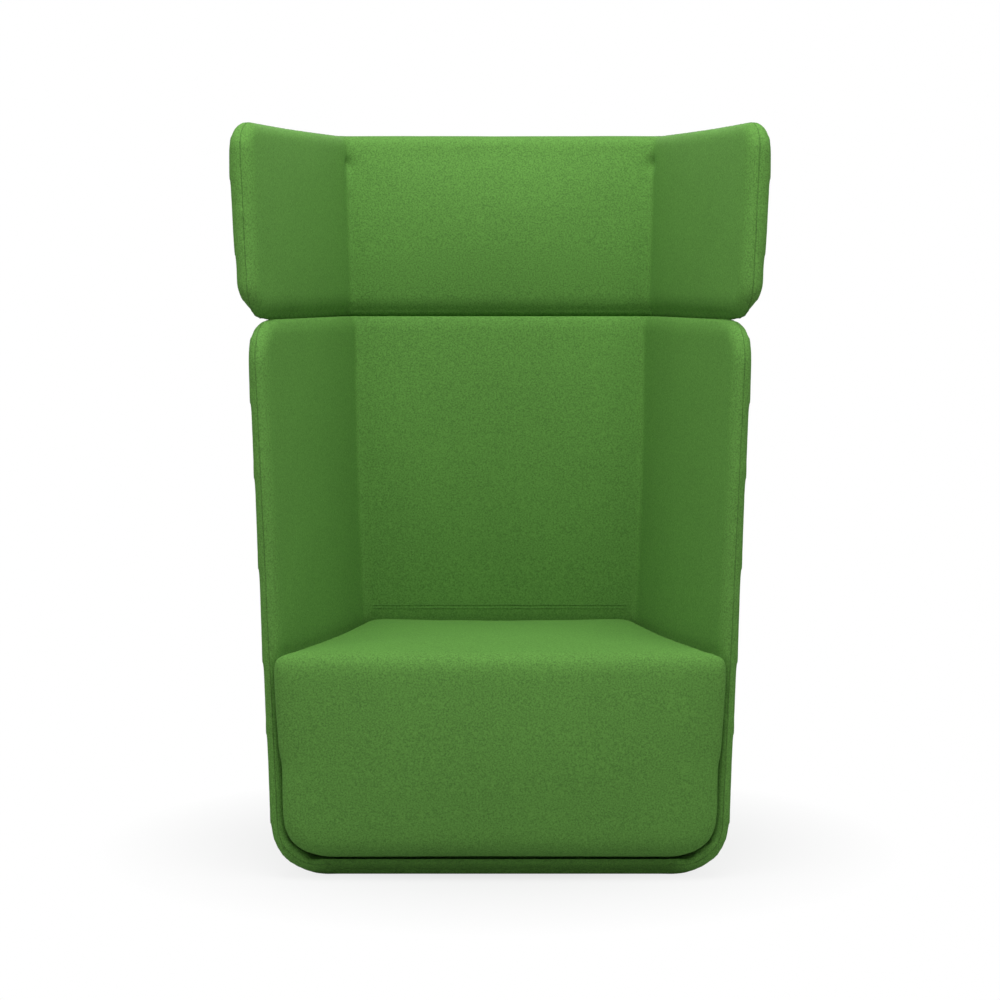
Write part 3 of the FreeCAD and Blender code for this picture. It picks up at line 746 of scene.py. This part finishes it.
def seat():
    """The seat block: one crowned closed cushion, with the space for its wooden box left inside."""
    obj = copy_of(["seat_cushion"], "seat_block_felt")
    only(obj)
    bpy.ops.object.mode_set(mode="EDIT")
    bpy.ops.mesh.select_all(action="SELECT")
    bpy.ops.mesh.separate(type="LOOSE")
    bpy.ops.object.mode_set(mode="OBJECT")
    shells = sorted(bpy.context.selected_objects, key=lambda o: o.dimensions.length)
    obj, voids = shells[-1], shells[:-1]
    modified(obj, "REMESH", mode="VOXEL", voxel_size=SEAT_VOXEL, adaptivity=0.0)
    share = openness(obj, ["seat_cushion"])
    soft = eased(obj, share, SEAT_SOFT_ROUNDS) * share
    at, out = points_of(obj), normals_of(obj)
    low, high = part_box("seat_cushion")
    rim = RIM_FOOT + RIM_RAKE * at[:, 2]
    forward = np.clip((rim + BULGE_BEHIND - at[:, 1]) / BULGE_RUN, 0, 1)
    beside = np.clip((np.abs(at[:, 0]) - BULGE_FROM) / BULGE_WIDTH, 0, 1)
    at[:, 0] += np.sign(at[:, 0]) * rising(forward) * beside * SEAT_BULGE
    back = np.clip((at[:, 1] - low.y) / (high.y - low.y), 0, 1)
    upper = np.clip((at[:, 2] - LIFT_FROM) / LIFT_HEIGHT, 0, 1)
    at[:, 2] += back * upper * SEAT_LIFT
    at = at - out * (soft * SEAT_INSET)[:, None]
    even = eased(obj, at, SEAT_ROUNDS)
    move_points(obj, at + (even - at) * share[:, None])
    swollen(obj, soft, SEAT_SWELL)
    modified(obj, "SUBSURF", levels=1, render_levels=1)
    only(obj)
    for void in voids:
        void.select_set(True)
    if voids:
        bpy.ops.object.join()
    obj.name = "seat_block_felt"
    bpy.ops.object.shade_smooth()
    dress(obj, seat_felt)
    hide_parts("seat_cushion")
    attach(obj, "shell")


seat()


def lining_sheet():
    """The sheet that closes the underside, tacked along its edges and slightly slack in between."""
    corners = sorted({tuple(v.co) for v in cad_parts["dust_cover"].data.vertices}, key=lambda c: c[2])[:4]
    low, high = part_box("dust_cover")
    front = sorted([c for c in corners if c[1] < 0.5 * (low.y + high.y)])
    rear = sorted([c for c in corners if c[1] >= 0.5 * (low.y + high.y)])
    bpy.ops.object.select_all(action="DESELECT")
    bpy.ops.mesh.primitive_grid_add(x_subdivisions=LINING_STEPS, y_subdivisions=LINING_STEPS, size=1.0)
    obj = bpy.context.active_object
    obj.name = "underside_lining"
    at = points_of(obj) + 0.5
    u, v = at[:, 0], at[:, 1]
    half = (front[1][0] * (1 - v) + rear[1][0] * v)
    rows = np.column_stack([(2 * u - 1) * half, front[0][1] + (rear[0][1] - front[0][1]) * v,
                            np.full(len(u), (low.z + high.z) / 2)])
    rows[:, 2] -= LINING_SLACK * np.sin(math.pi * u) * np.sin(math.pi * v)
    move_points(obj, rows)
    modified(obj, "SOLIDIFY", thickness=LINING_THICKNESS, offset=0.0)
    only(obj)
    bpy.ops.object.shade_smooth()
    dress(obj, lining)
    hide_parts("dust_cover")
    width, length = 2 * front[1][0], rear[0][1] - front[0][1]
    area = (front[1][0] + rear[1][0]) * length
    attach(obj, "shell")


lining_sheet()


def webbing():
    """Straps woven over and under each other across the top of the seat's wooden box."""
    obj = copy_of(["seat_webbing"], "seat_webbing_woven")
    modified(obj, "BEVEL", width=WEBBING_EDGE, segments=2)
    dress(obj, jute)
    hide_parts("seat_webbing")
    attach(obj, "shell")


webbing()


def soft_lamp(name, place, target, size, watts):
    """A large soft lamp that looks at a point."""
    data = bpy.data.lights.new(name, "AREA")
    data.shape = "RECTANGLE"
    data.size, data.size_y = size
    data.energy = watts
    lamp = bpy.data.objects.new(name, data)
    bpy.context.scene.collection.objects.link(lamp)
    lamp.location = place
    lamp.rotation_euler = (Vector(target) - Vector(place)).to_track_quat("-Z", "Y").to_euler()


for lamp_name, (place, target, size, watts) in LAMPS.items():
    soft_lamp(lamp_name, place, target, size, watts)


def studio():
    """A pale floor that keeps the shadow near the chair and turns white further out, and a white surround."""
    bpy.ops.object.select_all(action="DESELECT")
    bpy.ops.mesh.primitive_plane_add(size=FLOOR_SIZE)
    floor = bpy.context.active_object
    floor.name = "studio_floor"
    board = Board("white studio floor")
    board.set(Base_Color=(FLOOR_GREY, FLOOR_GREY, FLOOR_GREY, 1.0), Roughness=0.9, Specular_IOR_Level=0.1)
    at = board.node("ShaderNodeTexCoord", out=3)
    distance = board.node("ShaderNodeVectorMath", {"operation": "LENGTH"}, {0: at}, out=1)
    far = board.clamped((distance - WHITE_FROM) * WHITE_RISE + WHITE_NEAR)
    ray = board.node("ShaderNodeLightPath")
    white = board.node("ShaderNodeEmission", None, {"Color": (1, 1, 1, 1), "Strength": 1.0})
    mixed = board.node("ShaderNodeMixShader", None, {
        0: far * ray, 1: Wire(board, board.shader.outputs[0]), 2: white})
    board.feed(board.nodes["Material Output"].inputs["Surface"], mixed)
    dress(floor, board.material)
    world = bpy.data.worlds.new("studio")
    bpy.context.scene.world = world
    world.use_nodes = True
    tree = world.node_tree
    background = tree.nodes["Background"]
    background.inputs["Color"].default_value = (1, 1, 1, 1)
    path = tree.nodes.new("ShaderNodeLightPath")
    seen = path.outputs["Is Camera Ray"]
    for ray_kind in ("Is Glossy Ray", "Is Transmission Ray"):
        either = tree.nodes.new("ShaderNodeMath")
        either.operation = "MAXIMUM"
        tree.links.new(seen, either.inputs[0])
        tree.links.new(path.outputs[ray_kind], either.inputs[1])
        seen = either.outputs[0]
    level = tree.nodes.new("ShaderNodeMix")
    level.inputs[2].default_value = SURROUND_LEVEL
    level.inputs[3].default_value = 1.0
    tree.links.new(seen, level.inputs[0])
    tree.links.new(level.outputs[0], background.inputs["Strength"])


studio()
camera_data = bpy.data.cameras.new("camera")
camera_data.sensor_width = SENSOR
camera_data.lens = FOCAL_PIXELS / IMAGE_PIXELS * SENSOR
camera = bpy.data.objects.new("camera", camera_data)
bpy.context.scene.collection.objects.link(camera)
camera.location = CAMERA_PLACE
camera.rotation_euler = (math.radians(90 - CAMERA_PITCH), 0, 0)
bpy.context.scene.camera = camera
bpy.context.scene.view_settings.view_transform = "Standard"
